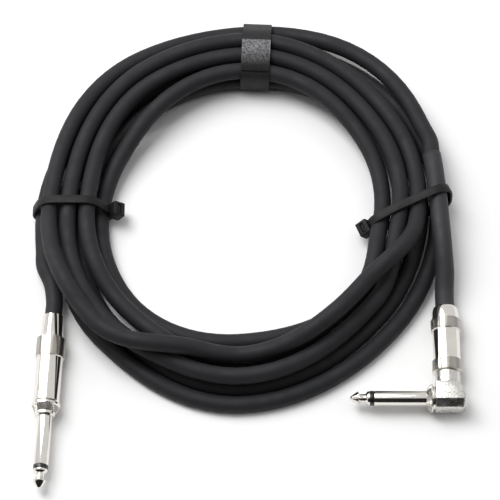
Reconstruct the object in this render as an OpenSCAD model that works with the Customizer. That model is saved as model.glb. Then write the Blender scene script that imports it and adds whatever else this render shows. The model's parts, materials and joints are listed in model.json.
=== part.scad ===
// Instrument lead: a coiled screened cable with one straight and one right-angle quarter-inch plug

/* [Cable and coil] */
// Outside diameter of the cable's jacket
cable_d = 7; // [5.8:0.01:8.4]
// Radius of the coil's middle loop
loop_r = 74; // [62:0.1:90]
// How far the loops stretch along their long diagonal
loop_oval = 2.5; // [0:0.1:3]
// Air between turns that lie side by side
lane_gap = 0.65; // [0.6:0.01:1.5]
// Diameter of the insulated core
core_d = 3.2; // [2.4:0.01:3.8]
// Diameter of the bare centre conductor
conductor_d = 1; // [0.8:0.01:1.2]
// Diameter of the twisted screen
screen_d = 1.5; // [1.2:0.01:1.6]

/* [Plug pins] */
// Diameter of a plug's pin
pin_d = 6.35; // [6.3:0.01:6.4]
// Length of a pin from its shoulder to the end of the tip
pin_l = 31.75; // [30:0.05:39]
// Length of the sleeve contact from the shoulder
sleeve_l = 21.7; // [18:0.1:22]
// Width of the black ring between sleeve and tip
ring_l = 1.7; // [1.4:0.1:2.1]
// Diameter of the rod that carries the tip
rod_d = 2.6; // [2.1:0.01:3.1]
// Wall of the insulating tube round the rod
rod_tube_wall = 0.65; // [0.5:0.01:0.8]

/* [Barrels] */
// Wall of a barrel round its bore
barrel_wall = 1; // [0.8:0.01:1.2]
// Wall of the right-angle barrel round its mouth
rim_wall = 0.6; // [0.5:0.01:0.8]
// Wall of the insulating liner
liner_wall = 0.3; // [0.25:0.01:0.4]
// Thickness of the ground clamp's metal
clamp_t = 0.45; // [0.35:0.01:0.6]
// Length of the threaded boss that a barrel screws on
boss_l = 5.5; // [4.5:0.1:6.6]
// How far a knurled band stands out from the straight barrel
straight_knurl_rise = 0.5; // [0.3:0.01:0.5]
// Length of the straight barrel's plain body
straight_body_l = 20.2; // [18:0.1:24.5]
// Length of the straight barrel's knurled band
straight_knurl_l = 9.2; // [7:0.1:11]
// Length of the straight barrel's tapered neck
straight_neck_l = 10.7; // [9:0.1:13]
// Length of the right-angle barrel's plain middle
angle_middle_l = 13.4; // [11:0.1:16]
// Length of each knurled band of the right-angle barrel
angle_knurl_l = 5.4; // [4.5:0.1:6.5]
// Length of the right-angle barrel's domed end
angle_dome_l = 5.6; // [4.6:0.1:6.8]
// How far the right-angle barrel's body is thicker than its liner needs
angle_extra_wall = 0.2; // [0:0.01:0.4]
// How far a knurled band stands out from the right-angle barrel
angle_knurl_rise = 0.6; // [0.4:0.01:0.7]

/* [Plug bodies] */
// Length of the straight plug's flange, which its barrel meets
flange_l = 1.6; // [1.2:0.1:2]
// How far the flange stands out from the straight barrel
flange_rise = 0.55; // [0.4:0.01:0.8]
// Length of the cone between flange and pin
cone_l = 4.3; // [3.5:0.1:5.2]
// Diameter of the cone's small end
cone_end_d = 7.6; // [7:0.1:8.4]
// Length of the right-angle plug's ribbed cone
ribbed_l = 2.8; // [2.2:0.1:3.4]
// Diameter of the ribbed cone where it is widest
ribbed_d = 12.2; // [11.4:0.1:12.8]
// Length of the groove behind the ribbed cone
groove_l = 0.9; // [0.7:0.1:1.5]
// Height of the cast elbow
elbow_h = 12.2; // [11.2:0.1:14.7]
// Length of the elbow along its barrel
elbow_l = 11.3; // [10.2:0.1:13.6]
// Width of the elbow where its neck begins
elbow_back_w = 10.6; // [10:0.1:12.8]
// How much wider the elbow is at its far end
elbow_flare = 2.4; // [1:0.1:3]
// Chamfer along the elbow's far end, above and below
elbow_chamfer = 3; // [2:0.1:3.6]
// Draft of the elbow's other walls
elbow_draft = 0.3; // [0.1:0.1:0.6]
// Length of the elbow's round neck
neck_l = 5.4; // [4.5:0.1:6.5]
// Thickness of the solder lugs
lug_t = 0.5; // [0.4:0.01:0.6]
// Width of the solder lugs
lug_w = 3; // [2.5:0.1:3.5]

/* [Ties, strap and sleeve] */
// Width of a cable tie's band
tie_w = 4.6; // [3.6:0.1:5.6]
// Thickness of a cable tie's band
tie_t = 1.1; // [0.9:0.01:1.4]
// Size of a tie's head along the cable
tie_head_w = 6.5; // [5.5:0.1:7.8]
// Height of a tie's head
tie_head_h = 7; // [6:0.1:8.4]
// Depth of a tie's head, out from the bundle
tie_head_d = 5.5; // [4.6:0.1:6.6]
// Width of the hook-and-loop strap
strap_w = 12.7; // [10:0.1:16]
// Thickness of the hook-and-loop strap
strap_t = 1; // [0.8:0.01:1.1]
// Wall of the shrunk marker sleeve
marker_wall = 0.5; // [0.4:0.01:0.6]

/* [Clearances] */
// Radial clearance between a barrel and the pieces that turn in it
turn_clear = 0.05; // [0.02:0.01:0.1]
// Radial clearance between the jacket and a barrel's mouth
mouth_clear = 0.3; // [0.2:0.01:0.4]
// Radial clearance between the clamp and the liner
liner_clear = 0.25; // [0.2:0.01:0.35]
// Clearance between pieces that are fixed together
fixed_clear = 0.05; // [0.02:0.01:0.08]
// Clearance between the bundle and what is wrapped round it
wrap_clear = 0.3; // [0.2:0.01:0.4]

/* [Hidden] */
$fn = 64;
cable_r = cable_d / 2;
pin_r = pin_d / 2;
rod_r = rod_d / 2;

// The cable lies flat on the table by a tenth of its diameter
cable_flat = cable_d / 10;
table_z = cable_r - cable_flat;
// Ties and strap pass under the bundle and lift it there
wrap_lift = max(tie_t, strap_t) + wrap_clear + cable_flat;

// Coil: centre on the table, lane pitch, rings in a loop and sides of the tube
loop_centre = [-1.13, 16.15];
lane = cable_d + lane_gap;
loop_rings = 24;
coil_sides = 6;
end_sides = 10;
// A climbing strand leads its sideways move by this much, and a falling one trails it
climb_lead = 1.45;
// Clock angles of the stations: left, top, right, lower right, bottom, lower left
stations = [0, 85, 176, 218, 270, 316];
// Lane outward and layer up of each pass at each station, from the straight end's pass on
left_lanes = [[1.6, 0], [0.45, 0], [-0.6, 0], [-1.65, 0], [-0.9, 1.05], [0.15, 1.05], [1.2, 1.05]];
top_lanes = [[1.1, 0], [0.1, 0], [-0.9, 0], [-0.85, 1], [0.2, 1], [1.2, 1], [2.2, 0]];
right_lanes = [[1.45, 0], [0.4, 0], [-0.65, 0], [-1.75, 0.4], [-0.75, 0.97], [0.25, 0.97], [1.25, 1]];
lower_right_lanes = [[1.65, 0], [0.6, 0], [-1.1, 0], [-1, 1], [0.05, 1.05], [-0.8, 2.2]];
bottom_lanes = [[2, 0], [1, 0], [-1.75, 0], [-0.6, 0], [0.75, 1.05], [-0.5, 1.1]];
lower_left_lanes = [[1, 0], [0, 0], [-1.6, 0], [-0.95, 1], [0.3, 1], [1.1, 2.15]];
lanes = [left_lanes, top_lanes, right_lanes, lower_right_lanes, bottom_lanes, lower_left_lanes];
// Share of the wrapping's lift at each station
lifts = [1, 1, 1, 0, 0, 0];
passes = len(left_lanes);
coil_start = -8;
coil_end = 360 * (passes - 1) + 150;

// Barrel and boss radii, from the jacket outward
clamp_r = cable_r + fixed_clear;
liner_in_r = clamp_r + clamp_t + liner_clear;
liner_out_r = liner_in_r + liner_wall;
bore_r = liner_out_r + turn_clear;
boss_r = bore_r - turn_clear;
mouth_r = cable_r + mouth_clear;
marker_r = cable_r + fixed_clear + marker_wall;
angle_mouth_r = marker_r + mouth_clear;
straight_body_r = bore_r + barrel_wall;
straight_knurl_r = straight_body_r + straight_knurl_rise;
straight_neck_r = mouth_r + barrel_wall;
angle_body_r = straight_body_r + angle_extra_wall;
angle_knurl_r = angle_body_r + angle_knurl_rise;
flange_r = straight_body_r + flange_rise;
neck_lip = 0.7;
elbow_neck_r = bore_r + neck_lip;
tube_r = rod_r + fixed_clear + rod_tube_wall;
sleeve_bore_r = tube_r + fixed_clear;

// Lengths along the barrels, from the face that each barrel meets
collar_l = flange_l + cone_l;
straight_barrel_l = straight_body_l + straight_knurl_l + straight_neck_l;
straight_bore_l = straight_body_l + straight_knurl_l;
angle_barrel_l = angle_middle_l + 2 * angle_knurl_l + angle_dome_l;
angle_bore_l = angle_barrel_l - angle_dome_l;
washer_t = 1.5;
washer_rim = 0.25;
rivet_t = 0.5;
rivet_lip = 0.2;
liner_gap = 0.5;

// Wires, placed from the rear: the clamp's grip ends just before the shorter bore does
grip_l = 3.5;
grip_turn = 300;
strip_turn = 70;
grip_back_gap = 0.7;
jacket_lap = 1;
core_l = 5.5;
core_gap = 0.5;
grip_start = min(straight_bore_l, angle_bore_l) - grip_back_gap - grip_l;
jacket_end = grip_start - jacket_lap;
core_start = jacket_end - core_l;
lug_reach = core_start - core_gap;
// The lugs stand beside the axis so that the conductor lies along them
lug_off = 0.3;
lug_x = rod_r + lug_off;
core_x = lug_x - conductor_d / 2;

// Plugs: shoulder of the straight plug, barrel line and pin line of the other
straight_lean = -2.2;
straight_beside = 8.1;
straight_below = 22.2;
straight_at = [loop_centre[0] - loop_r - straight_beside, loop_centre[1] - loop_r - straight_below, flange_r];
angle_beside = 12.1;
angle_below = 13.9;
angle_offset = 9.4;
angle_axis_h = max(angle_knurl_r, elbow_h / 2);
angle_at = [loop_centre[0] + loop_r + angle_beside - angle_offset, loop_centre[1] - loop_r - angle_below,
    angle_axis_h];
elbow_back = 5.9;
elbow_gap = ribbed_l + groove_l;
spigot_r = 4.2;
spigot_l = 2.2;
cavity_r = 3.4;
cavity_end = 3;
cavity_depth = neck_l + elbow_back + cavity_end;
angle_axis_drop = neck_l + elbow_back;
angle_tube_wall = 0.45;

// Route of the straight end: offsets from the coil's centre, past its loop radius sideways
straight_route = [[-7.5, -34.5, 6]];
// Route of the right-angle end, read the same way; the marker sleeve covers it and runs into the barrel
angle_route = [[8.4, 24, 14], [9.4, 16, 14.2], [10, 8, 14.2], [10.6, 0, 14.2], [11, -8, 14],
    [11.5, -16, 13.4], [12, -24, 11.9], [12.4, -31, 9.3]];
// How far the marker sleeve runs into the barrel
marker_inside = 2;
// Straight run of cable behind each barrel, for the barrel to slide along
slide_run = 7;

// Coil route

function ease(t) = let (c = min(1, max(0, t))) c * c * (3 - 2 * c);
function early(t) = ease(climb_lead * t);
function late(t) = ease(climb_lead * (t - 1) + 1);
function stop_angle(k) = 360 * floor(k / len(stations)) + stations[k % len(stations)];
function stop_lane(k) = lanes[k % len(stations)][floor(k / len(stations))];
function stop_before(a) =
    len(stations) * floor(a / 360) + len([for (s = stations) if (s <= a % 360) s]) - 1;
function share(a, k) = (a - stop_angle(k)) / (stop_angle(k + 1) - stop_angle(k));

// Lane and layer of the strand at a clock angle: it climbs before it crosses and drops after
function lane_at(a) =
    let (b = max(0, a), k = stop_before(b), t = share(b, k), p = stop_lane(k), q = stop_lane(k + 1))
    let (rise = q[1] - p[1])
    let (across = rise > 0 ? late(t) : rise < 0 ? early(t) : ease(t))
    let (up = rise > 0 ? early(t) : rise < 0 ? late(t) : ease(t))
    [p[0] + (q[0] - p[0]) * across, p[1] + rise * up];

function lift_at(a) =
    let (b = max(0, a), k = stop_before(b), p = lifts[k % len(lifts)], q = lifts[(k + 1) % len(lifts)])
    wrap_lift * (p + (q - p) * (q > p ? ease(2 * share(b, k)) : ease(2 * share(b, k) - 1)));

function base_r(a) = loop_r + loop_oval * cos(2 * (a - 135));
function strand_z(a) = table_z + lift_at(a) + lane * lane_at(a)[1];
function coil_point(a) =
    let (r = base_r(a) + lane * lane_at(a)[0])
    [loop_centre[0] - r * cos(a), loop_centre[1] + r * sin(a), strand_z(a)];

function unit(v) = v / norm(v);
function start_heading() = unit(coil_point(coil_start) - coil_point(coil_start + 1));
function end_heading() = unit(coil_point(coil_end) - coil_point(coil_end - 1));
start_tail = coil_point(coil_start) + cable_d * start_heading();
end_tail = coil_point(coil_end) + cable_d * end_heading();
coil_angles = concat([coil_start], [for (a = [0 : 360 / loop_rings : coil_end]) a]);
coil_path = concat([start_tail], [for (a = coil_angles) coil_point(a)], [end_tail]);

// Least gap of the coil to itself, on points along its straight stretches between rings
gap_steps = 5;
gap_points = [for (i = [0 : len(coil_path) - 2]) for (s = [0 : gap_steps - 1])
    coil_path[i] + (coil_path[i + 1] - coil_path[i]) * s / gap_steps];
gap_apart = gap_steps * loop_rings / 2;
function near_gap(i) =
    min([for (j = [i + gap_apart : len(gap_points) - 1]) norm(gap_points[i] - gap_points[j])]);
coil_gap = min([for (i = [0 : len(gap_points) - gap_apart - 1]) near_gap(i)]) - cable_d;
function run_length(path) =
    let (steps = [for (i = [1 : len(path) - 1]) norm(path[i] - path[i - 1])])
    steps * [for (s = steps) 1];
echo(coil_gap = coil_gap, coil_length = run_length(coil_path));

// Free ends

straight_dir = [-sin(straight_lean), cos(straight_lean), 0];
function on_straight(d) = straight_at + d * straight_dir;
straight_rear = collar_l + straight_barrel_l;
function beside_loop(side, p) = [loop_centre[0] + side * loop_r + p[0], loop_centre[1] + p[1], p[2]];
straight_path = concat([start_tail, start_tail + cable_d * start_heading()],
    [for (p = straight_route) beside_loop(-1, p)],
    [on_straight(straight_rear + slide_run), on_straight(collar_l + jacket_end)]);

angle_line = [angle_at[0] + angle_offset, angle_at[1] + angle_axis_drop, angle_at[2]];
function on_angle(d) = angle_line + [0, d, 0];
angle_lead_in = [end_tail, end_tail + cable_d * end_heading()];
angle_path = concat(angle_lead_in, [for (p = angle_route) beside_loop(1, p)],
    [on_angle(angle_barrel_l + slide_run), on_angle(angle_barrel_l - marker_inside), on_angle(jacket_end)]);
marker_first = len(angle_lead_in);
marker_last = len(angle_path) - 2;

// Tubes swept along a route, flat where they would pass below the table

function heading(path, i) = unit(path[min(i + 1, len(path) - 1)] - path[max(i - 1, 0)]);
function ring(path, i, r, sides) =
    let (ahead = heading(path, i), aside = unit(cross([0, 0, 1], ahead)), up = cross(ahead, aside))
    [for (k = [0 : sides - 1])
        let (p = path[i] + r * (cos(360 * k / sides) * aside + sin(360 * k / sides) * up))
        [p[0], p[1], max(p[2], 0)]];
function skin_faces(first, rings, sides, flip) =
    [for (i = [0 : rings - 2]) for (k = [0 : sides - 1]) for (half = [0, 1])
        let (a = first + i * sides + k, b = first + i * sides + (k + 1) % sides)
        let (f = half == 0 ? [a, b, b + sides] : [a, b + sides, a + sides])
        flip ? [f[2], f[1], f[0]] : f];

module cord(path, sides) {
    n = len(path);
    rings = [for (i = [0 : n - 1]) each ring(path, i, cable_r, sides)];
    last = (n - 1) * sides;
    start_cap = [for (k = [1 : sides - 2]) [0, k + 1, k]];
    end_cap = [for (k = [1 : sides - 2]) [last, last + k, last + k + 1]];
    polyhedron(rings, concat(skin_faces(0, n, sides, false), start_cap, end_cap));
}

// Sleeve on a stretch of a route, with its rings square to the whole route
module sleeve_on(path, from, to, r_out, r_in, sides) {
    n = to - from + 1;
    outer = [for (i = [from : to]) each ring(path, i, r_out, sides)];
    inner = [for (i = [from : to]) each ring(path, i, r_in, sides)];
    first = n * sides;
    last = (n - 1) * sides;
    ends = [for (k = [0 : sides - 1]) let (m = (k + 1) % sides) each [
        [k, first + k, first + m], [k, first + m, m],
        [last + k, last + m, first + last + m], [last + k, first + last + m, first + last + k]]];
    polyhedron(concat(outer, inner),
        concat(skin_faces(0, n, sides, false), skin_faces(first, n, sides, true), ends));
}

module cable_coil() {
    color("#2a2a2d") cord(coil_path, coil_sides);
}

module cable_straight_end() {
    color("#2a2a2d") cord(straight_path, end_sides);
}

module cable_angle_end() {
    color("#2a2a2d") cord(angle_path, end_sides);
}

module marker_sleeve() {
    color("#1b1b1d")
        sleeve_on(angle_path, marker_first, marker_last, marker_r, cable_r + fixed_clear, end_sides);
}

// Ties and strap

// Place on the loop where something is wrapped, and the way it runs across the bundle
function wrap_at(a) = [loop_centre[0] - base_r(a) * cos(a), loop_centre[1] + base_r(a) * sin(a)];
function wrap_dir(a, tilt) = [cos(180 - a + tilt), sin(180 - a + tilt)];

// Point of the coil as it is swept, on the straight stretch between two rings
function swept_point(a) =
    let (step = 360 / loop_rings, k = floor(a / step), t = a / step - k)
    (1 - t) * coil_point(k * step) + t * coil_point((k + 1) * step);

// Strand points under a wrapping of half width half: along the wrapping, up, and the strand's radius
function under_wrap(a, tilt, half, points, r) =
    let (at = wrap_at(a), along = wrap_dir(a, tilt), aside = [-along[1], along[0]])
    [for (p = points) let (v = [p[0], p[1]] - at) if (abs(v * aside) <= half) [v * along, p[2], r]];
wrap_reach = 12;
function coil_points(a, count) =
    [for (p = [0 : count - 1]) for (d = [-wrap_reach : wrap_reach]) swept_point(a + 360 * p + d)];
marker_samples = [for (i = [marker_first : marker_last - 1]) for (s = [0 : 0.1 : 1])
    (1 - s) * angle_path[i] + s * angle_path[i + 1]];
function inner_edge(strands) = min([for (s = strands) s[0] - s[2]]) - wrap_clear;

// Stands a profile, drawn along the wrapping and up, across the bundle
module across_bundle(a, tilt = 0) {
    at = wrap_at(a);
    translate([at[0], at[1], 0]) rotate([90, 0, 180 - a + tilt]) children();
}

// Outline drawn tight round the strands
module bundle(strands, grow) {
    hull() for (s = strands) translate([s[0], s[1]]) circle(s[2] + grow, $fn = 32);
}

module band(strands, t) {
    difference() {
        bundle(strands, wrap_clear + t);
        bundle(strands, wrap_clear);
    }
}

// Head of a tie, with the pawl's slot and the end of the tail cut off flush
module tie_head(inner, top) {
    slot_w = tie_w + 0.4;
    slot_t = tie_t + 0.5;
    difference() {
        translate([inner - tie_head_d, top, -tie_head_w / 2]) cube([tie_head_d, tie_head_h, tie_head_w]);
        translate([inner - tie_head_d / 2 - slot_t / 2, top + tie_head_h / 2, -slot_w / 2])
            cube([slot_t, tie_head_h, slot_w]);
    }
}

module cable_tie(a, tilt, strands) {
    head_drop = 1;
    color("#18181a") across_bundle(a, tilt) {
        linear_extrude(tie_w, center = true) band(strands, tie_t);
        tie_head(inner_edge(strands) - tie_t / 2, table_z + wrap_lift - head_drop);
    }
}

module cable_tie_left() {
    a = 0;
    half = tie_w / 2 + wrap_clear;
    cable_tie(a, 0, under_wrap(a, 0, half, coil_points(a, passes), cable_r));
}

module cable_tie_right() {
    a = 180;
    tilt = 23;
    half = tie_w / 2 + wrap_clear + cable_r * sin(tilt);
    coiled = under_wrap(a, tilt, half, coil_points(a, passes - 1), cable_r);
    marked = under_wrap(a, tilt, half, marker_samples, marker_r);
    cable_tie(a, tilt, concat(coiled, marked));
}

module top_strap() {
    a = 94;
    half = strap_w / 2 + wrap_clear;
    strands = under_wrap(a, 0, half, coil_points(a, passes), cable_r);
    color("#222225") across_bundle(a) linear_extrude(strap_w, center = true) {
        band(strands, strap_t);
        intersection() {
            difference() {
                bundle(strands, wrap_clear + 2 * strap_t);
                bundle(strands, wrap_clear + strap_t / 2);
            }
            translate([-lane, table_z + lane]) square([2 * lane, 4 * lane]);
        }
    }
}

// Pieces that both plugs share, along Z

module turned(profile) {
    rotate_extrude() polygon(profile);
}

module pipe(r_out, r_in, from, to) {
    turned([[r_in, from], [r_out, from], [r_out, to], [r_in, to]]);
}

// Arc of a pipe, centred on the X axis
module pipe_arc(r_out, r_in, from, to, turn) {
    rotate([0, 0, -turn / 2]) rotate_extrude(angle = turn)
        polygon([[r_in, from], [r_out, from], [r_out, to], [r_in, to]]);
}

// Tip with its rod: the nose, the groove that a socket's spring drops into, and the rod behind
module tip_and_rod(rear) {
    foot = sleeve_l + ring_l;
    foot_r = pin_r - 0.15;
    foot_l = 0.6;
    foot_taper = 0.1;
    groove_r = 1.95;
    groove_from = foot + 1.9;
    groove_to = pin_l - 4.4;
    nose_r = 2.85;
    nose_from = pin_l - 3.5;
    nose_l = 0.7;
    nose_taper = 0.2;
    round_r = 1.2;
    round_l = 0.5;
    color("#cfcac0") turned([[0, rear], [rod_r, rear], [rod_r, foot], [foot_r, foot],
        [foot_r - foot_taper, foot + foot_l], [groove_r, groove_from], [groove_r, groove_to],
        [nose_r, nose_from], [nose_r - nose_taper, nose_from + nose_l], [round_r, pin_l - round_l],
        [round_r / 2, pin_l - round_l / 5], [0, pin_l]]);
}

// Tube round the rod, ending in the ring, which is crowned
module rod_insulator(rear) {
    bore = rod_r + fixed_clear;
    edge_r = pin_r - 0.1;
    crown_r = pin_r - 0.03;
    color("#141414") turned([[bore, rear], [tube_r, rear], [tube_r, sleeve_l], [edge_r, sleeve_l],
        [crown_r, sleeve_l + ring_l / 2], [edge_r, sleeve_l + ring_l], [bore, sleeve_l + ring_l]]);
}

// Clamp: a strip along the side, then a grip bent round the jacket
module ground_clamp() {
    strip_inset = 0.05;
    strip_lap = 0.5;
    out_r = clamp_r + clamp_t;
    color("#b9a878") {
        pipe_arc(out_r - strip_inset, clamp_r + strip_inset, boss_l, grip_start + strip_lap, strip_turn);
        pipe_arc(out_r, clamp_r, grip_start, grip_start + grip_l, grip_turn);
    }
}

module lug_tongue(from) {
    hole_r = 0.5;
    hole_back = 1;
    difference() {
        translate([-lug_x - lug_t, -lug_w / 2, from]) cube([lug_t, lug_w, lug_reach - from]);
        translate([-lug_x - 2 * lug_t, 0, lug_reach - hole_back]) rotate([0, 90, 0])
            cylinder(r = hole_r, h = 3 * lug_t);
    }
}

module core() {
    color("#e8e4da") translate([-core_x, 0, core_start]) cylinder(d = core_d, h = core_l);
}

module conductor() {
    lap = 3.5;
    color("#b87333") translate([-core_x, 0, core_start - lap]) cylinder(d = conductor_d, h = lap);
}

module screen_tail() {
    lap = 4;
    beside = clamp_r - fixed_clear - screen_d / 2;
    color("#b87333") translate([beside, 0, jacket_end - lap]) cylinder(d = screen_d, h = lap);
}

module liner(bore_l) {
    color("#e6e2d4") pipe(liner_out_r, liner_in_r, boss_l + liner_gap, bore_l - liner_gap);
}

// Straight plug: its axis is Z, with the shoulder at zero and the tip up

module at_straight() {
    translate(straight_at) rotate([90, 0, straight_lean]) children();
}

module behind_straight() {
    at_straight() translate([0, 0, -collar_l]) rotate([180, 0, 0]) children();
}

module straight_tip() {
    rear = -collar_l - boss_l - washer_t - lug_t;
    at_straight() {
        tip_and_rod(rear);
        color("#cfcac0") translate([0, 0, rear - rivet_t]) cylinder(r = rod_r + rivet_lip, h = rivet_t);
    }
}

module straight_tip_insulator() {
    at_straight() rod_insulator(-collar_l - boss_l);
}

module straight_sleeve() {
    step = 0.4;
    rim_l = 0.6;
    rear = -collar_l - boss_l;
    cone_end_r = cone_end_d / 2;
    color("#d2cdc2") at_straight() turned([[sleeve_bore_r, rear], [boss_r, rear], [boss_r, -collar_l],
        [flange_r, -collar_l], [flange_r, -cone_l], [flange_r - step, -cone_l], [cone_end_r, -rim_l],
        [cone_end_r, 0], [pin_r, 0], [pin_r, sleeve_l], [sleeve_bore_r, sleeve_l]]);
}

module straight_rear_washer() {
    color("#141414") behind_straight()
        pipe(clamp_r - washer_rim, rod_r + fixed_clear, boss_l, boss_l + washer_t);
}

module straight_tip_lug() {
    seat = boss_l + washer_t;
    color("#cfcac0") behind_straight() {
        pipe(lug_x + lug_t, rod_r + fixed_clear, seat, seat + lug_t);
        lug_tongue(seat);
    }
}

module straight_ground_clamp() {
    behind_straight() ground_clamp();
}

module straight_core() {
    behind_straight() core();
}

module straight_conductor() {
    behind_straight() conductor();
}

module straight_screen_tail() {
    behind_straight() screen_tail();
}

module straight_liner() {
    behind_straight() liner(straight_bore_l);
}

module straight_barrel() {
    edge = 0.3;
    color("#d2cdc2") behind_straight() turned([[bore_r, 0], [straight_body_r, 0],
        [straight_body_r, straight_body_l], [straight_knurl_r, straight_body_l + edge],
        [straight_knurl_r, straight_bore_l - edge], [straight_body_r - edge, straight_bore_l],
        [straight_neck_r, straight_barrel_l], [mouth_r, straight_barrel_l], [mouth_r, straight_bore_l],
        [bore_r, straight_bore_l]]);
}

// Right-angle plug: its pin is along Z as above, and its barrel leaves toward minus X

module at_angle() {
    translate(angle_at) rotate([90, 0, -90]) children();
}

module behind_angle() {
    at_angle() translate([-angle_axis_drop, 0, -angle_offset]) rotate([0, -90, 0]) children();
}

// The rod ends in a thinner stud, which the lug is riveted on
stud_r = rod_r - 0.4;

module angle_tip() {
    rear = -angle_offset - lug_x;
    at_angle() {
        tip_and_rod(rear);
        color("#cfcac0") translate([0, 0, rear - lug_t]) cylinder(r = stud_r, h = lug_t);
    }
}

module angle_tip_insulator() {
    stand_out = 0.6;
    at_angle() rod_insulator(-elbow_gap - spigot_l - stand_out);
}

module angle_sleeve() {
    rib_r = ribbed_d / 2;
    rib_end_r = 4;
    rib_depth = 0.35;
    groove_r = rib_r - 1.2;
    ribs = 3;
    pitch = ribbed_l / ribs;
    fall = (rib_r - rib_end_r) / ribs;
    ribbed = [for (i = [0 : ribs - 1]) let (from = -ribbed_l + i * pitch, r = rib_r - i * fall)
        each [[r, from], [r, from + 0.6 * pitch], [r - fall - rib_depth, from + 0.8 * pitch]]];
    rear = -elbow_gap - spigot_l;
    color("#d2cdc2") at_angle() turned(concat([[sleeve_bore_r, rear], [spigot_r, rear],
        [spigot_r, -elbow_gap], [groove_r, -elbow_gap], [groove_r, -ribbed_l]], ribbed,
        [[pin_r, 0], [pin_r, sleeve_l], [sleeve_bore_r, sleeve_l]]));
}

// Plan of the elbow, drawn in by the draft of its walls and cut back at its far end
module elbow_plan(inset, cut) {
    back = -elbow_back + inset;
    front = elbow_l - elbow_back - cut;
    near = -elbow_gap - inset / 4;
    bevel = 1.5;
    far_back = -elbow_gap - elbow_back_w + inset;
    far_front = far_back - elbow_flare;
    polygon([[back, near], [front, near], [front, far_front + bevel], [front - bevel, far_front],
        [back, far_back]]);
}

// The elbow's outline at a height above or below the pin's axis
module elbow_level(height, inset, cut) {
    plate_t = 0.1;
    for (s = [-1, 1]) translate([0, s * (height - plate_t / 2), 0]) rotate([90, 0, 0])
        linear_extrude(plate_t, center = true) elbow_plan(inset, cut);
}

module angle_elbow() {
    lap = 1;
    color("#c9c6bf") difference() {
        union() {
            at_angle() hull() {
                elbow_level(elbow_h / 2, elbow_draft, elbow_chamfer);
                elbow_level(elbow_h / 2 - elbow_chamfer, 0, 0);
            }
            behind_angle() {
                translate([0, 0, -neck_l - lap]) cylinder(r = elbow_neck_r, h = neck_l + lap);
                cylinder(r = boss_r, h = boss_l);
            }
        }
        behind_angle() translate([0, 0, -cavity_depth])
            cylinder(r = cavity_r, h = cavity_depth + boss_l + lap);
        at_angle() translate([0, 0, -angle_offset]) cylinder(r = spigot_r + fixed_clear, h = angle_offset);
    }
}

module angle_lug_insulator() {
    out_r = cavity_r - fixed_clear;
    color("#e6e2d4") behind_angle() pipe(out_r, out_r - angle_tube_wall, -neck_l, boss_l - fixed_clear);
}

module angle_tip_lug() {
    foot = -angle_axis_drop - lug_w / 2;
    color("#cfcac0") difference() {
        behind_angle() lug_tongue(foot);
        at_angle() translate([0, 0, -2 * angle_offset]) cylinder(r = stud_r + fixed_clear, h = angle_offset);
    }
}

module angle_ground_clamp() {
    behind_angle() ground_clamp();
}

module angle_core() {
    behind_angle() core();
}

module angle_conductor() {
    behind_angle() conductor();
}

module angle_screen_tail() {
    behind_angle() screen_tail();
}

module angle_liner() {
    behind_angle() liner(angle_bore_l);
}

module angle_barrel() {
    edge = 0.3;
    upper = angle_knurl_l + angle_middle_l;
    rim_r = angle_mouth_r + rim_wall;
    dome_steps = 6;
    dome = [for (i = [0 : dome_steps]) let (a = 90 * i / dome_steps)
        [rim_r + (angle_body_r - rim_r) * cos(a), angle_bore_l + angle_dome_l * sin(a)]];
    color("#d2cdc2") behind_angle() turned(concat([[bore_r, 0], [angle_knurl_r - edge, 0],
        [angle_knurl_r, edge], [angle_knurl_r, angle_knurl_l - edge], [angle_body_r, angle_knurl_l],
        [angle_body_r, upper], [angle_knurl_r, upper + edge], [angle_knurl_r, angle_bore_l - edge]], dome,
        [[angle_mouth_r, angle_barrel_l], [angle_mouth_r, angle_bore_l], [bore_r, angle_bore_l]]));
}

cable_coil();
cable_straight_end();
cable_angle_end();
marker_sleeve();
cable_tie_left();
cable_tie_right();
top_strap();
straight_tip();
straight_tip_insulator();
straight_sleeve();
straight_rear_washer();
straight_tip_lug();
straight_ground_clamp();
straight_core();
straight_conductor();
straight_screen_tail();
straight_liner();
straight_barrel();
angle_tip();
angle_tip_insulator();
angle_sleeve();
angle_elbow();
angle_lug_insulator();
angle_tip_lug();
angle_ground_clamp();
angle_core();
angle_conductor();
angle_screen_tail();
angle_liner();
angle_barrel();
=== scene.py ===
"""Looks of the instrument lead: its cable, wrappings and plugs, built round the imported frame."""
import json
import math

import bmesh
import bpy
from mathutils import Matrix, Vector

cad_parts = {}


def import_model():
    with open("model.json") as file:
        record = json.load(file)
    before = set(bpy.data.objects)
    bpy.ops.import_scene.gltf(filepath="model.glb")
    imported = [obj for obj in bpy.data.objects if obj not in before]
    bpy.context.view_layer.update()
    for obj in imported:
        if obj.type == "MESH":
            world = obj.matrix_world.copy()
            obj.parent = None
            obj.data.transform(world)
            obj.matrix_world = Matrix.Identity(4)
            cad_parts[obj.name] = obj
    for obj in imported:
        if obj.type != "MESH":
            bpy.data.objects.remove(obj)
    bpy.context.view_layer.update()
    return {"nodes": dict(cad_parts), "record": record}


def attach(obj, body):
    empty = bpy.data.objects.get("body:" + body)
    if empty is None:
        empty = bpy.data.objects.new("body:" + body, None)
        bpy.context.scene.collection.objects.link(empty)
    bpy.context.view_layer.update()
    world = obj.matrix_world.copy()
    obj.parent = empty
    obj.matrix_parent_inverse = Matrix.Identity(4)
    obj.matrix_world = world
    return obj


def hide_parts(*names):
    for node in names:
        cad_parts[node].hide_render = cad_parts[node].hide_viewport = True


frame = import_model()
MM = 0.001

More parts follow.
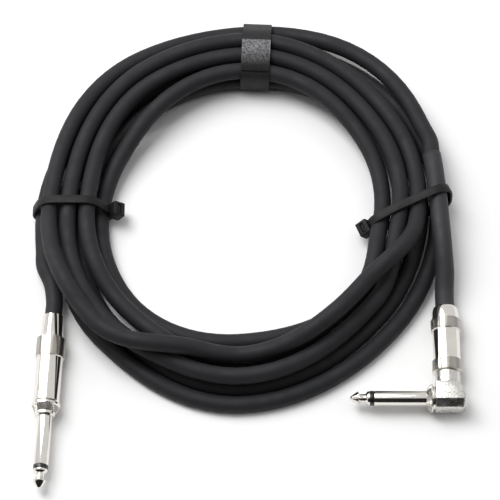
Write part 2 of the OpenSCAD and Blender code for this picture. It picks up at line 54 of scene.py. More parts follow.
# Cable and coil, with the sizes and the lane chart of the part's source. Angles are in degrees
CABLE_D = 7 * MM
CABLE_R = CABLE_D / 2
LOOP_R = 74 * MM
LOOP_OVAL = 2.5 * MM
OVAL_TURN = 135
LOOP_CENTRE = Vector((-1.13, 16.15, 0)) * MM
LANE = CABLE_D + 0.65 * MM
TABLE_Z = CABLE_R - CABLE_D / 10
WRAP_CLEAR = 0.3 * MM
TIE_T = 1.1 * MM
WRAP_LIFT = TIE_T + WRAP_CLEAR + CABLE_D / 10
CLIMB_LEAD = 1.45

# Clock angles of the stations, the lane of each pass there as steps outward and up, and where a tie or the
# strap lifts the bundle
STATIONS = (0, 85, 176, 218, 270, 316)
LANES = (
    ((1.6, 0), (0.45, 0), (-0.6, 0), (-1.65, 0), (-0.9, 1.05), (0.15, 1.05), (1.2, 1.05)),
    ((1.1, 0), (0.1, 0), (-0.9, 0), (-0.85, 1), (0.2, 1), (1.2, 1), (2.2, 0)),
    ((1.45, 0), (0.4, 0), (-0.65, 0), (-1.75, 0.4), (-0.75, 0.97), (0.25, 0.97), (1.25, 1)),
    ((1.65, 0), (0.6, 0), (-1.1, 0), (-1, 1), (0.05, 1.05), (-0.8, 2.2)),
    ((2, 0), (1, 0), (-1.75, 0), (-0.6, 0), (0.75, 1.05), (-0.5, 1.1)),
    ((1, 0), (0, 0), (-1.6, 0), (-0.95, 1), (0.3, 1), (1.1, 2.15)),
)
LIFTS = (1, 1, 1, 0, 0, 0)

# Passes and ends of the coil, steps along the cable, and its section
PASSES = len(LANES[0])
COIL_START = -8
COIL_END = 360 * (PASSES - 1) + 150
COIL_STEP = 4
END_STEP = 2 * MM
CABLE_SIDES = 24
JACKET_R = 3.65 * MM

# Ties and strap
TIE_W = 3.8 * MM
TIE_HEAD = 5.4 * MM
TIE_HEAD_W = 6.5 * MM
TIE_HEAD_OUT = 2.7 * MM
TIE_HEAD_Z = 7.2 * MM
TIE_HEAD_LEAN = 34
TIE_SLOT_W = 4.4 * MM
TIE_SLOT_T = 1.6 * MM
TIE_HEAD_ROUND = 0.45 * MM
TIE_TAIL_HALF = (1.35 * MM, 0.44 * MM, 1.71 * MM)
TIE_TAIL_UP = 1.08 * MM
TIE_ROUND = 0.25 * MM
STRAP_W = 12.7 * MM
STRAP_T = 0.6 * MM
STRAP_CLEAR = 0.1 * MM
STRAP_LAYER_GAP = 0.05 * MM
STRAP_LAP = (-9 * MM, 6.5 * MM)
STRAP_WEAVE = 0.1 * MM
# Y in the shared frame over which the strap lap's painted sheen grows from dull to full
PAINTED_SHEEN_FADE = (83.5 * MM, 93 * MM)
STRAP_ROWS = 16
STRAP_CLOCK = 94.5
STRAP_TILT = 2
WRAP_REACH = 40 * MM
WRAP_STEP = 0.5 * MM
STRAND_STEP = 1 * MM
WRAP_EASE = 7
WRAP_LOOSE = 0.4 * MM

# Angles from which a corner is shaded sharp, and from which it is rounded
CORNER = math.radians(32)
SOFT_ANGLE = math.radians(20)

# Free ends: offsets in millimetres from the loop's centre, past the loop's radius sideways
STRAIGHT_ROUTE = ((-7.5, -34.5, 6),)
ANGLE_ROUTE = (
    (8.4, 24, 14), (9.4, 16, 14.2), (10, 8, 14.2), (10.6, 0, 14.2), (11, -8, 14),
    (11.5, -16, 13.4), (12, -24, 11.9), (12.4, -31, 9.3),
)
MARKER_INSIDE = 2 * MM
MARKER_R = CABLE_R + 0.55 * MM
SLIDE_RUN = 7 * MM

# Plugs: from each pin's shoulder to the face that its barrel meets, and lengths along the barrel from there
COLLAR_L = 5.9 * MM
ANGLE_LINE = Vector((9.4, 11.3, 0)) * MM
JACKET_END = 19 * MM
STRAIGHT_BARREL_L = 40.1 * MM
ANGLE_BARREL_L = 29.8 * MM

# Profiles of the plugs, in millimetres
TURN_SIDES = 128
PIN_R = 3.175
PIN_L = 31.75
SLEEVE_L = 21.7
RING_L = 1.7
TUBE_R = 2
TUBE_INSIDE = 1
ROD_R = 1.3
SLEEVE_BORE_R = 2.05
BORE_R = 4.6
BOSS_R = 4.55
BOSS_L = 5.5
THREAD_PITCH = 1
THREAD_DEPTH = 0.3
THREAD_ROWS = 4
KNURL_DEPTH = 0.25
KNURL_ROW = 0.31
KNURL_GAP = 0.1
KNURL_TOOTH = ((1, 1, 0, 1), (1, 0, 1, 0), (0, 1, 1, 1), (1, 0, 1, 0))
# Share of the metal's colour left at the bottom of knurl and thread grooves: painted shade
PAINTED_GROOVE_SHADE = 0.5
ELBOW_FRONT = 5.4
EDGE = 0.25

# Camera: the photograph's square frame, seen from in front and above
SENSOR_WIDTH = 36
IMAGE_WIDTH = 500
FOCAL_PIXELS = 2305
CAMERA_ELEVATION = math.radians(63.4)
CAMERA_DISTANCE = 1.0
CAMERA_TARGET = Vector((2.07, 0.65, 0)) * MM

# Brightness of the room and of its dark side, and how far forward that side fades in
ROOM = 0.75
ROOM_DARK = 0.02
DARK_SIDE = (-0.42, -0.3)

# Half the floor's width, in metres
FLOOR_HALF = 6.0

# Noise textures: their detail, and the part of their range that the values fill
NOISE_DETAIL = 3.0
NOISE_SPAN = (0.3, 0.7)


# Mesh helpers

def new_object(name, points, faces, smooth=True):
    mesh = bpy.data.meshes.new(name)
    mesh.from_pydata([tuple(p) for p in points], [], faces)
    mesh.polygons.foreach_set("use_smooth", [smooth] * len(mesh.polygons))
    mesh.update()
    obj = bpy.data.objects.new(name, mesh)
    bpy.context.scene.collection.objects.link(obj)
    return obj


def closed_object(name, points, faces):
    """A closed shell with its faces turned outward, smooth apart from its corners."""
    obj = new_object(name, points, faces)
    shell = bmesh.new()
    shell.from_mesh(obj.data)
    bmesh.ops.recalc_face_normals(shell, faces=shell.faces)
    shell.to_mesh(obj.data)
    shell.free()
    obj.data.set_sharp_from_angle(angle=CORNER)
    return obj


def loop_faces(rings, sides):
    """Quads between rings of points that lie one after another."""
    faces = []
    for i in range(rings - 1):
        near, far = i * sides, (i + 1) * sides
        for k in range(sides):
            m = (k + 1) % sides
            faces.append((near + k, near + m, far + m, far + k))
    return faces


def capped_faces(rings, sides):
    """The same quads, with a face over each end."""
    last = (rings - 1) * sides
    caps = [tuple(range(sides - 1, -1, -1)), tuple(range(last, last + sides))]
    return loop_faces(rings, sides) + caps


def tube(name, path, radius):
    """Closed tube along a path, flat where it would pass below the table."""
    points = []
    for i, centre in enumerate(path):
        ahead = (path[min(i + 1, len(path) - 1)] - path[max(i - 1, 0)]).normalized()
        aside = Vector((0, 0, 1)).cross(ahead).normalized()
        up = ahead.cross(aside)
        for k in range(CABLE_SIDES):
            turn = 2 * math.pi * k / CABLE_SIDES
            p = centre + radius * (math.cos(turn) * aside + math.sin(turn) * up)
            points.append(Vector((p.x, p.y, max(p.z, 0))))
    return new_object(name, points, capped_faces(len(path), CABLE_SIDES))


def smooth_route(knots, step):
    """Points of a smooth curve through the knots, about step apart."""
    route = []
    for i in range(len(knots) - 1):
        p1, p2 = knots[i], knots[i + 1]
        p0 = knots[i - 1] if i else p1 + (p1 - p2)
        p3 = knots[i + 2] if i + 2 < len(knots) else p2 + (p2 - p1)
        a = -0.5 * p0 + 1.5 * p1 - 1.5 * p2 + 0.5 * p3
        b = p0 - 2.5 * p1 + 2 * p2 - 0.5 * p3
        c = 0.5 * (p2 - p0)
        count = max(1, round((p2 - p1).length / step))
        for k in range(count):
            t = k / count
            route.append(a * t ** 3 + b * t ** 2 + c * t + p1)
    return route + [knots[-1]]


def across(way):
    """Two directions square to a line and to each other."""
    aside = Vector((0, 0, 1)).cross(way).normalized()
    return aside, way.cross(aside)


def split(quad, radii):
    """A bent quad as two triangles, so that a tooth has a flat top and flat sides. They meet along the
    more level pair of corners, or along the lower pair if both slope alike."""
    def slope_and_height(p, q):
        return round(abs(p - q), 6), round(p + q, 6)
    a, b, c, d = quad
    first, second = slope_and_height(radii[0], radii[2]), slope_and_height(radii[1], radii[3])
    if first == second:
        return [quad]
    return [(a, b, c), (a, c, d)] if first < second else [(a, b, d), (b, c, d)]


def turned(name, at, way, profile):
    """Piece turned round a line. Each row of the profile is a radius and a distance along the line, in
    millimetres. Several radii in a row are taken in turn round the piece, and a radius of 0 is a point.
    The mesh keeps how deep each point lies in its row, from 0 to 1, as groove."""
    aside, up = across(way)
    points, rows, radii, grooves = [], [], [], []
    for radius, distance in profile:
        ring = radius if isinstance(radius, tuple) else (radius,)
        deep = max(ring) - min(ring)
        count = TURN_SIDES if max(ring) > 0 else 1
        rows.append(range(len(points), len(points) + count))
        radii.append([ring[k % len(ring)] for k in range(count)])
        for k in range(count):
            turn = 2 * math.pi * k / TURN_SIDES
            out = ring[k % len(ring)] * (math.cos(turn) * aside + math.sin(turn) * up)
            points.append(at + (distance * way + out) * MM)
            grooves.append((max(ring) - ring[k % len(ring)]) / deep if deep else 0)
    faces = []
    solid = len(rows[0]) == 1
    for i in range(len(rows) - 1 if solid else len(rows)):
        j = (i + 1) % len(rows)
        for k in range(TURN_SIDES):
            m = (k + 1) % TURN_SIDES
            if len(rows[i]) == 1:
                faces.append((rows[i][0], rows[j][m], rows[j][k]))
            elif len(rows[j]) == 1:
                faces.append((rows[i][k], rows[i][m], rows[j][0]))
            else:
                quad = (rows[i][k], rows[i][m], rows[j][m], rows[j][k])
                faces += split(quad, (radii[i][k], radii[i][m], radii[j][m], radii[j][k]))
    obj = closed_object(name, points, faces)
    obj.data.attributes.new("groove", "FLOAT", "POINT").data.foreach_set("value", grooves)
    return obj


def knurl(start_r, start, end_r, end, depth=KNURL_DEPTH):
    """Rows of a diamond knurl with flat-topped teeth, on a cylinder or a cone."""
    count = round((end - start) / KNURL_ROW)
    rows = []
    for j in range(count + 1):
        r = start_r + (end_r - start_r) * j / count
        tooth = KNURL_TOOTH[j % len(KNURL_TOOTH)]
        ring = tuple(r - depth * (1 - high) for high in tooth)
        rows.append((ring, start + (end - start) * j / count))
    return rows


def thread(r, start, length):
    """Rows of a screw thread, whose crest winds once round in each pitch."""
    rows = []
    count = round(length / THREAD_PITCH * THREAD_ROWS)
    for j in range(count + 1):
        wind = [(j / THREAD_ROWS - k / TURN_SIDES) % 1 for k in range(TURN_SIDES)]
        ring = tuple(r - THREAD_DEPTH * abs(2 * w - 1) for w in wind)
        rows.append((ring, start + length * j / count))
    return rows


def chamfered_end(r, end, share=1):
    """Two rows of a small chamfer at a cylinder's end, whose width is a share of its length."""
    return [(r, end - EDGE), (r - share * EDGE, end)]


def cut(obj, tool, operation):
    """Joins a tool's shape to an object or takes it away, and removes the tool."""
    modifier = obj.modifiers.new(operation.lower(), "BOOLEAN")
    modifier.operation = operation
    modifier.object = tool
    modifier.solver = "EXACT"
    settle(obj)
    bpy.data.objects.remove(tool)


def settle(obj):
    """Turns an object's modifiers into its mesh."""
    ready = obj.evaluated_get(bpy.context.evaluated_depsgraph_get())
    mesh = bpy.data.meshes.new_from_object(ready)
    obj.modifiers.clear()
    obj.data = mesh


def smooth_shading(obj):
    """Smooth shading apart from an object's corners."""
    obj.data.polygons.foreach_set("use_smooth", [True] * len(obj.data.polygons))
    obj.data.set_sharp_from_angle(angle=CORNER)


def soften(obj, width, segments=3):
    """Rounds an object's corners."""
    modifier = obj.modifiers.new("corners", "BEVEL")
    modifier.width = width
    modifier.segments = segments
    modifier.limit_method = "ANGLE"
    modifier.angle_limit = SOFT_ANGLE
    settle(obj)
    smooth_shading(obj)


def stacked(name, levels):
    """Closed shell through outlines of equal count, one above another."""
    points = [p for level in levels for p in level]
    return closed_object(name, points, capped_faces(len(levels), len(levels[0])))


def block(name, centre, axes, half):
    """Box round a centre, with three axes and a half size along each."""
    a, b, c = (axis * size for axis, size in zip(axes, half))
    corners = (-a - b, a - b, a + b, b - a)
    return stacked(name, [[centre + corner + c * s for corner in corners] for s in (-1, 1)])


# Route of the cable

def ease(t):
    """Smooth step from 0 to 1."""
    c = min(1, max(0, t))
    return c * c * (3 - 2 * c)


def early(t):
    """The same step, done before the end."""
    return ease(CLIMB_LEAD * t)


def late(t):
    """The same step, begun after the start."""
    return ease(CLIMB_LEAD * (t - 1) + 1)


def stop_angle(k):
    """Clock angle of a strand's k-th station."""
    return 360 * (k // len(STATIONS)) + STATIONS[k % len(STATIONS)]


def stop_lane(k):
    """Lane of a strand at its k-th station."""
    return LANES[k % len(STATIONS)][k // len(STATIONS)]


def stop_and_share(angle):
    """The station that a strand has passed at a clock angle, and its share of the way to the next one."""
    a = max(0, angle)
    k = len(STATIONS) * int(a // 360) + sum(s <= a % 360 for s in STATIONS) - 1
    return k, (a - stop_angle(k)) / (stop_angle(k + 1) - stop_angle(k))


def loop_radius(a):
    """Radius of the slightly oval loop at a clock angle in radians."""
    return LOOP_R + LOOP_OVAL * math.cos(2 * (a - math.radians(OVAL_TURN)))


def coil_point(angle):
    """Point of the coil at a clock angle. A climbing strand goes up before it crosses, and a falling one
    drops after."""
    k, t = stop_and_share(angle)
    p, q = stop_lane(k), stop_lane(k + 1)
    rise = q[1] - p[1]
    aside, up = ease(t), ease(t)
    if rise > 0:
        aside, up = late(t), early(t)
    elif rise < 0:
        aside, up = early(t), late(t)
    low, high = LIFTS[k % len(LIFTS)], LIFTS[(k + 1) % len(LIFTS)]
    lift = low + (high - low) * (ease(2 * t) if high > low else ease(2 * t - 1))
    a = math.radians(angle)
    r = loop_radius(a) + LANE * (p[0] + (q[0] - p[0]) * aside)
    z = TABLE_Z + WRAP_LIFT * lift + LANE * (p[1] + rise * up)
    return LOOP_CENTRE + Vector((-r * math.cos(a), r * math.sin(a), z))


def beside_loop(side, p):
    """Point beside the loop, on its left or right, from a free end's offsets."""
    return LOOP_CENTRE + Vector((side * (LOOP_R / MM) + p[0], p[1], p[2])) * MM


mounts = {m["name"]: m for m in frame["record"]["mounts"]}


def shoulder(name):
    """Where a plug's pin begins, and the way from there to its tip."""
    mount = mounts[name]
    tip_way = Vector(mount["axis"])
    return Vector(mount["pos_m"]) - tip_way * mount["dims"]["length_mm"] * MM / 2, tip_way


straight_at, straight_tip_way = shoulder("straight_pin")
straight_way = -straight_tip_way
straight_face = straight_at + COLLAR_L * straight_way
angle_at, angle_tip_way = shoulder("angle_pin")
angle_face = angle_at + ANGLE_LINE
angle_way = Vector((0, 1, 0))
angle_rear = angle_face + ANGLE_BARREL_L * angle_way


def cable_route():
    """Points along the cable, from the straight plug to the other one."""
    start, end = coil_point(COIL_START), coil_point(COIL_END)
    start_way = (start - coil_point(COIL_START + 1)).normalized()
    end_way = (end - coil_point(COIL_END - 1)).normalized()
    straight_rear = straight_face + STRAIGHT_BARREL_L * straight_way
    first = [straight_face + JACKET_END * straight_way, straight_rear]
    first += [straight_rear + SLIDE_RUN * straight_way]
    first += [beside_loop(-1, p) for p in STRAIGHT_ROUTE]
    first += [start + 2 * CABLE_D * start_way, start + CABLE_D * start_way, start]
    coil = [coil_point(a) for a in range(COIL_START + COIL_STEP, COIL_END, COIL_STEP)]
    last = [end, end + CABLE_D * end_way, end + 2 * CABLE_D * end_way]
    last += [beside_loop(1, p) for p in ANGLE_ROUTE]
    last += [angle_rear + SLIDE_RUN * angle_way, angle_rear, angle_face + JACKET_END * angle_way]
    return smooth_route(first, END_STEP) + coil + smooth_route(last, END_STEP)


# Materials

def material(name, colour, roughness, metallic=0.0):
    mat = bpy.data.materials.new(name)
    mat.use_nodes = True
    shader = mat.node_tree.nodes["Principled BSDF"]
    shader.inputs["Base Color"].default_value = (*colour, 1)
    shader.inputs["Roughness"].default_value = roughness
    shader.inputs["Metallic"].default_value = metallic
    return mat, shader


def add(mat, kind, inputs=None, **settings):
    node = mat.node_tree.nodes.new(kind)
    for key, value in settings.items():
        setattr(node, key, value)
    for key, value in (inputs or {}).items():
        node.inputs[key].default_value = value
    return node


def join(mat, output, target):
    mat.node_tree.links.new(output, target)


def noise(mat, per_metre):
    """Noise in the object's own space, so that its grain has a real size."""
    spot = add(mat, "ShaderNodeTexCoord")
    texture = add(mat, "ShaderNodeTexNoise", {"Scale": per_metre, "Detail": NOISE_DETAIL})
    join(mat, spot.outputs["Object"], texture.inputs["Vector"])
    return texture.outputs["Fac"]


def remap(mat, value, source, result, target, **settings):
    """Maps a value from one range to another, on a socket."""
    limits = {"From Min": source[0], "From Max": source[1], "To Min": result[0], "To Max": result[1]}
    node = add(mat, "ShaderNodeMapRange", limits, **settings)
    join(mat, value, node.inputs["Value"])
    join(mat, node.outputs["Result"], target)


def spread(mat, value, low, high, target):
    """Maps a noise value to a range on a shader's socket."""
    remap(mat, value, NOISE_SPAN, (low, high), target)


def tint(mat, value, low, high, target):
    """Mixes two colours by a noise value."""
    ramp = add(mat, "ShaderNodeValToRGB")
    for stop, position, colour in zip(ramp.color_ramp.elements, NOISE_SPAN, (low, high)):
        stop.position = position
        stop.color = (*colour, 1)
    join(mat, value, ramp.inputs["Fac"])
    join(mat, ramp.outputs["Color"], target)


def scaled_tint(mat, value, low, high, target):
    """Mixes two colours by a noise value, and gives the socket that scales the mixed colour."""
    scale = add(mat, "ShaderNodeVectorMath", operation="SCALE")
    tint(mat, value, low, high, scale.inputs["Vector"])
    join(mat, scale.outputs["Vector"], target)
    return scale.inputs["Scale"]


def bump(mat, shader, value, depth):
    node = add(mat, "ShaderNodeBump", {"Strength": 1.0, "Distance": depth})
    join(mat, value, node.inputs["Height"])
    join(mat, node.outputs["Normal"], shader.inputs["Normal"])


def jacket_material():
    mat, shader = material("jacket", (0.013, 0.0132, 0.0155), 0.7)
    shader.inputs["Specular IOR Level"].default_value = 0.35
    low, high = (0.0115, 0.0117, 0.0138), (0.0145, 0.0147, 0.017)
    tint(mat, noise(mat, 45), low, high, shader.inputs["Base Color"])
    spread(mat, noise(mat, 160), 0.62, 0.76, shader.inputs["Roughness"])
    bump(mat, shader, noise(mat, 2500), 0.03 * MM)
    return mat


def nylon_material():
    mat, shader = material("nylon", (0.008, 0.008, 0.009), 0.55)
    shader.inputs["Specular IOR Level"].default_value = 0.25
    spread(mat, noise(mat, 300), 0.48, 0.62, shader.inputs["Roughness"])
    tint(mat, noise(mat, 90), (0.007, 0.007, 0.008), (0.011, 0.011, 0.012), shader.inputs["Base Color"])
    bump(mat, shader, noise(mat, 1800), 0.02 * MM)
    return mat


def shrink_material():
    mat, shader = material("shrink", (0.028, 0.028, 0.031), 0.6)
    shader.inputs["Specular IOR Level"].default_value = 0.35
    spread(mat, noise(mat, 220), 0.54, 0.66, shader.inputs["Roughness"])
    tint(mat, noise(mat, 60), (0.025, 0.025, 0.028), (0.032, 0.032, 0.036), shader.inputs["Base Color"])
    bump(mat, shader, noise(mat, 1400), 0.02 * MM)
    return mat


def webbing_material():
    mat, shader = material("webbing", (0.013, 0.013, 0.0145), 0.6)
    shader.inputs["Specular IOR Level"].default_value = 0.3
    tint(mat, noise(mat, 900), (0.009, 0.009, 0.01), (0.017, 0.017, 0.019), shader.inputs["Base Color"])
    spread(mat, noise(mat, 1500), 0.5, 0.7, shader.inputs["Roughness"])
    bump(mat, shader, noise(mat, 3000), 0.1 * MM)
    return mat


def loops_material():
    """Looped face of the strap: its pale speckles are painted glints, and it is paler towards the coil's
    outside, a painted sheen.
    """
    mat, shader = material("loops", (0.05, 0.05, 0.053), 0.6)
    shader.inputs["Specular IOR Level"].default_value = 0.2
    # Pale speckles: painted glints on the fibres
    low, high = (0.025, 0.025, 0.027), (0.26, 0.26, 0.27)
    painted_sheen = scaled_tint(mat, noise(mat, 1300), low, high, shader.inputs["Base Color"])
    spot = add(mat, "ShaderNodeTexCoord")
    axes = add(mat, "ShaderNodeSeparateXYZ")
    join(mat, spot.outputs["Object"], axes.inputs["Vector"])
    # Paler towards the outside of the coil: painted sheen
    remap(mat, axes.outputs["Y"], PAINTED_SHEEN_FADE, (0.03, 1), painted_sheen)
    spread(mat, noise(mat, 1500), 0.5, 0.7, shader.inputs["Roughness"])
    bump(mat, shader, noise(mat, 2500), 0.15 * MM)
    return mat


def nickel_material(name, colour, dull, bright, grain, speckle=120, dark=0.92):
    """Metal between two roughnesses, with darker speckles, painted shade in its knurl and thread grooves,
    and a fine grain.
    """
    mat, shader = material(name, colour, dull, 1.0)
    spread(mat, noise(mat, 260), bright, dull, shader.inputs["Roughness"])
    darker = tuple(dark * c for c in colour)
    painted_shade = scaled_tint(mat, noise(mat, speckle), darker, colour, shader.inputs["Base Color"])
    # Colour darker the deeper a point lies in its groove: painted shade
    groove = add(mat, "ShaderNodeAttribute", attribute_name="groove")
    remap(mat, groove.outputs["Fac"], (0, 1), (1, PAINTED_GROOVE_SHADE), painted_shade)
    bump(mat, shader, noise(mat, 1200), grain)
    return mat


def plastic_material(name, colour, roughness):
    mat, shader = material(name, colour, roughness)
    spread(mat, noise(mat, 500), roughness - 0.06, roughness + 0.06, shader.inputs["Roughness"])
    tint(mat, noise(mat, 200), tuple(0.85 * c for c in colour), colour, shader.inputs["Base Color"])
    bump(mat, shader, noise(mat, 2000), 0.01 * MM)
    return mat


materials = {
    "jacket": jacket_material(),
    "shrink": shrink_material(),
    "nylon": nylon_material(),
    "webbing": webbing_material(),
    "nickel": nickel_material("nickel", (0.84, 0.81, 0.76), 0.16, 0.07, 0.002 * MM),
    "cast_nickel": nickel_material("cast_nickel", (0.82, 0.8, 0.76), 0.34, 0.2, 0.12 * MM,
                                   speckle=1500, dark=0.62),
    "black_insulator": plastic_material("black_insulator", (0.012, 0.012, 0.013), 0.25),
    "pale_insulator": plastic_material("pale_insulator", (0.8, 0.77, 0.68), 0.5),
    "tinned_brass": nickel_material("tinned_brass", (0.7, 0.65, 0.52), 0.3, 0.2, 0.01 * MM),
    "copper": nickel_material("copper", (0.8, 0.42, 0.25), 0.35, 0.25, 0.03 * MM),
}
slots = {part["node"]: part["material_slot"] for part in frame["record"]["subparts"]}


def dress(obj, slot):
    obj.data.materials.clear()
    obj.data.materials.append(materials[slot])


def place(obj, body, slot, *nodes):
    """A new piece that moves with a body, has a slot's finish and stands for some CAD nodes."""
    dress(obj, slot)
    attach(obj, body)
    if nodes:
        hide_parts(*nodes)
    return obj


for name, obj in frame["nodes"].items():
    dress(obj, slots[name])


# Pin ends of both plugs

def tip_profile():
    """Nose, the groove that a socket's spring drops into, and the foot, on the end of the rod."""
    bead_r, waist_r, nose_r, nose_l = 3, 1.78, 2.8, 3.4
    start, foot, nose = SLEEVE_L - TUBE_INSIDE, SLEEVE_L + RING_L, PIN_L - nose_l
    rod = [(0, start), (ROD_R, start), (ROD_R, foot)]
    bead = [(bead_r - 0.1, foot), (bead_r + 0.02, foot + 0.15)]
    bead += [(bead_r, foot + 0.8), (bead_r - 0.2, foot + 1.25)]
    waist = [(waist_r + 0.12, foot + 1.9), (waist_r, foot + 2.5)]
    waist += [(waist_r, nose - 1.1), (waist_r + 0.12, nose - 0.75)]
    cone = [(nose_r - 0.2, nose - 0.25), (nose_r, nose), (nose_r - 0.08, nose + 0.35)]
    cone += [(nose_r - 0.45, nose + 1), (nose_r - 1.1, nose + 2), (nose_r - 1.75, nose + 2.85)]
    return rod + bead + waist + cone + [(nose_r - 2.2, nose + 3.25), (0, PIN_L)]


def ring_profile():
    """Black ring between sleeve and tip, with a little of the tube that it ends."""
    bore_r, edge_r, crown_r = ROD_R + 0.05, PIN_R - 0.1, PIN_R - 0.03
    start, near, far = SLEEVE_L - TUBE_INSIDE, SLEEVE_L, SLEEVE_L + RING_L
    crown = [(edge_r, near), (crown_r, near + RING_L / 4), (crown_r, far - RING_L / 4), (edge_r, far)]
    return [(bore_r, start), (TUBE_R, start), (TUBE_R, near)] + crown + [(bore_r, far)]


def pin_profile():
    """Pin of a sleeve contact, from its shoulder to its end and back along its bore."""
    return [(PIN_R, 0)] + chamfered_end(PIN_R, SLEEVE_L, 0.5) + [(SLEEVE_BORE_R, SLEEVE_L)]


def pin_end(side, at, way):
    """Tip and black ring of a plug."""
    tip = place(turned(side + "_tip_piece", at, way, tip_profile()), "lead", "nickel", side + "_tip")
    ring = place(turned(side + "_ring", at, way, ring_profile()), "lead", "black_insulator",
                 side + "_tip_insulator")
    return [tip, ring]


# Right-angle plug

def angle_sleeve():
    """Pin, knurled cone, groove and the spigot that sits in the elbow."""
    cone_l, gap, spigot_l, rim_l, end_l, tooth = 2.8, 3.7, 2.2, 0.6, 0.3, 0.2
    wide_r, end_r, groove_r, spigot_r = 6.1, 4, 4.9, 4.2
    profile = [(SLEEVE_BORE_R, -gap - spigot_l), (spigot_r, -gap - spigot_l), (spigot_r, -gap)]
    profile += [(groove_r, -gap), (groove_r, -cone_l), (wide_r - EDGE, -cone_l)]
    profile += [(wide_r, EDGE - cone_l), (wide_r, rim_l - cone_l)]
    profile += knurl(wide_r - tooth, rim_l + KNURL_GAP - cone_l, end_r, -end_l, tooth)
    profile += [(end_r - 2 * tooth, 0)] + pin_profile()
    return turned("angle_sleeve_piece", angle_at, angle_tip_way, profile)


def elbow_outline(height, inset, cut_back):
    """Plan of the cast elbow at a height above the pin's line, measured from its shoulder."""
    back, front = 5.9 - inset, cut_back - ELBOW_FRONT
    near, far_back, far_front = 3.7 + inset / 4, 14.3 - inset, 16.7 - inset
    bevel = 1.5
    plan = [(near, back), (near, front), (far_front - bevel, front)]
    plan += [(far_front, front + bevel), (far_back, back)]
    return [angle_at + Vector((x, y, height)) * MM for x, y in plan]


def elbow():
    """Cast block with a chamfered far end, its round neck, and the threaded boss for the barrel."""
    half_h, chamfer, draft, corner = 6.1, 3, 0.3, 0.4
    neck_l, neck_r, cavity_r, cavity_end = 5.4, 5.3, 3.4, 8.9
    seat_r, seat_end, seam_x, seam = 4.25, 9.4, 10.6, 0.12
    levels = [elbow_outline(-half_h, draft, chamfer), elbow_outline(chamfer - half_h, 0, 0),
              elbow_outline(half_h - chamfer, 0, 0), elbow_outline(half_h, draft, chamfer)]
    body = stacked("angle_elbow_piece", levels)
    soften(body, corner * MM)
    neck_foot, cavity_foot, cavity_top = -neck_l - 1, -neck_l - cavity_end, BOSS_L + 1
    neck = [(0, neck_foot), (neck_r, neck_foot)] + chamfered_end(neck_r, 0)
    neck += thread(BOSS_R, 0, BOSS_L) + [(0, BOSS_L)]
    cut(body, turned("neck", angle_face, angle_way, neck), "UNION")
    cavity = [(0, cavity_foot), (cavity_r, cavity_foot), (cavity_r, cavity_top), (0, cavity_top)]
    cut(body, turned("cavity", angle_face, angle_way, cavity), "DIFFERENCE")
    seat = [(0, -seat_end), (seat_r, -seat_end), (seat_r, 0), (0, 0)]
    cut(body, turned("seat", angle_at, angle_tip_way, seat), "DIFFERENCE")
    # Parting seam: the middles and half sizes of two shallow cuts
    axes = (Vector((1, 0, 0)), Vector((0, 1, 0)), Vector((0, 0, 1)))
    top_seam = ((seam_x, 1, half_h), (seam, 3.2, seam))
    front_seam = ((seam_x, -ELBOW_FRONT, 0), (seam, seam, 2.8))
    for at, half in (top_seam, front_seam):
        centre = angle_at + Vector(at) * MM
        cut(body, block("seam", centre, axes, [MM * h for h in half]), "DIFFERENCE")
    smooth_shading(body)
    return body


def angle_barrel():
    """Barrel with two knurled bands and a domed end."""
    knurl_r, body_r, knurl_l, middle_l, dome_l = 6.4, 5.8, 5.4, 13.4, 5.6
    mouth_r, rim_r = 4.35, 4.95
    upper, bore_l = knurl_l + middle_l, 2 * knurl_l + middle_l
    profile = [(BORE_R, 0), (knurl_r - 0.3, 0)] + knurl(knurl_r, EDGE, knurl_r, knurl_l - EDGE)
    profile += [(body_r, knurl_l), (body_r, upper)] + knurl(knurl_r, upper + EDGE, knurl_r, bore_l - EDGE)
    for a in range(0, 91, 9):
        turn = math.radians(a)
        end = EDGE if a == 90 else 0
        r = rim_r + (body_r - rim_r) * math.cos(turn)
        profile.append((r, bore_l + dome_l * math.sin(turn) - end))
    length = bore_l + dome_l
    profile += [(rim_r - EDGE, length), (mouth_r, length), (mouth_r, bore_l), (BORE_R, bore_l)]
    return turned("angle_barrel_piece", angle_face, angle_way, profile)


angle_pieces = pin_end("angle", angle_at, angle_tip_way)
angle_pieces.append(place(angle_sleeve(), "lead", "nickel", "angle_sleeve"))
angle_pieces.append(place(elbow(), "lead", "cast_nickel", "angle_elbow"))
place(angle_barrel(), "angle_barrel", "nickel", "angle_barrel")


# Straight plug

def straight_sleeve():
    """Pin, knurled cone, flange and the threaded boss for the barrel."""
    flange_r, flange_l = 6.15, 1.6
    cone_l, cone_r, cone_end, cone_end_r = 4.3, 5.75, 1.5, 4.3
    rear = -flange_l - cone_l
    profile = [(SLEEVE_BORE_R, rear - BOSS_L)] + thread(BOSS_R, rear - BOSS_L, BOSS_L)
    profile += [(BOSS_R, rear), (flange_r - 2 * EDGE, rear), (flange_r, rear + 2 * EDGE)]
    profile += [(flange_r, -cone_l - EDGE), (flange_r - EDGE, -cone_l)]
    profile += knurl(cone_r, -cone_l + KNURL_GAP, cone_end_r, -cone_end - KNURL_GAP)
    profile += [(cone_end_r, -cone_end), (cone_end_r, -2 * EDGE), (cone_end_r - 2 * EDGE, 0)]
    profile += pin_profile()
    return turned("straight_sleeve_piece", straight_at, straight_tip_way, profile)


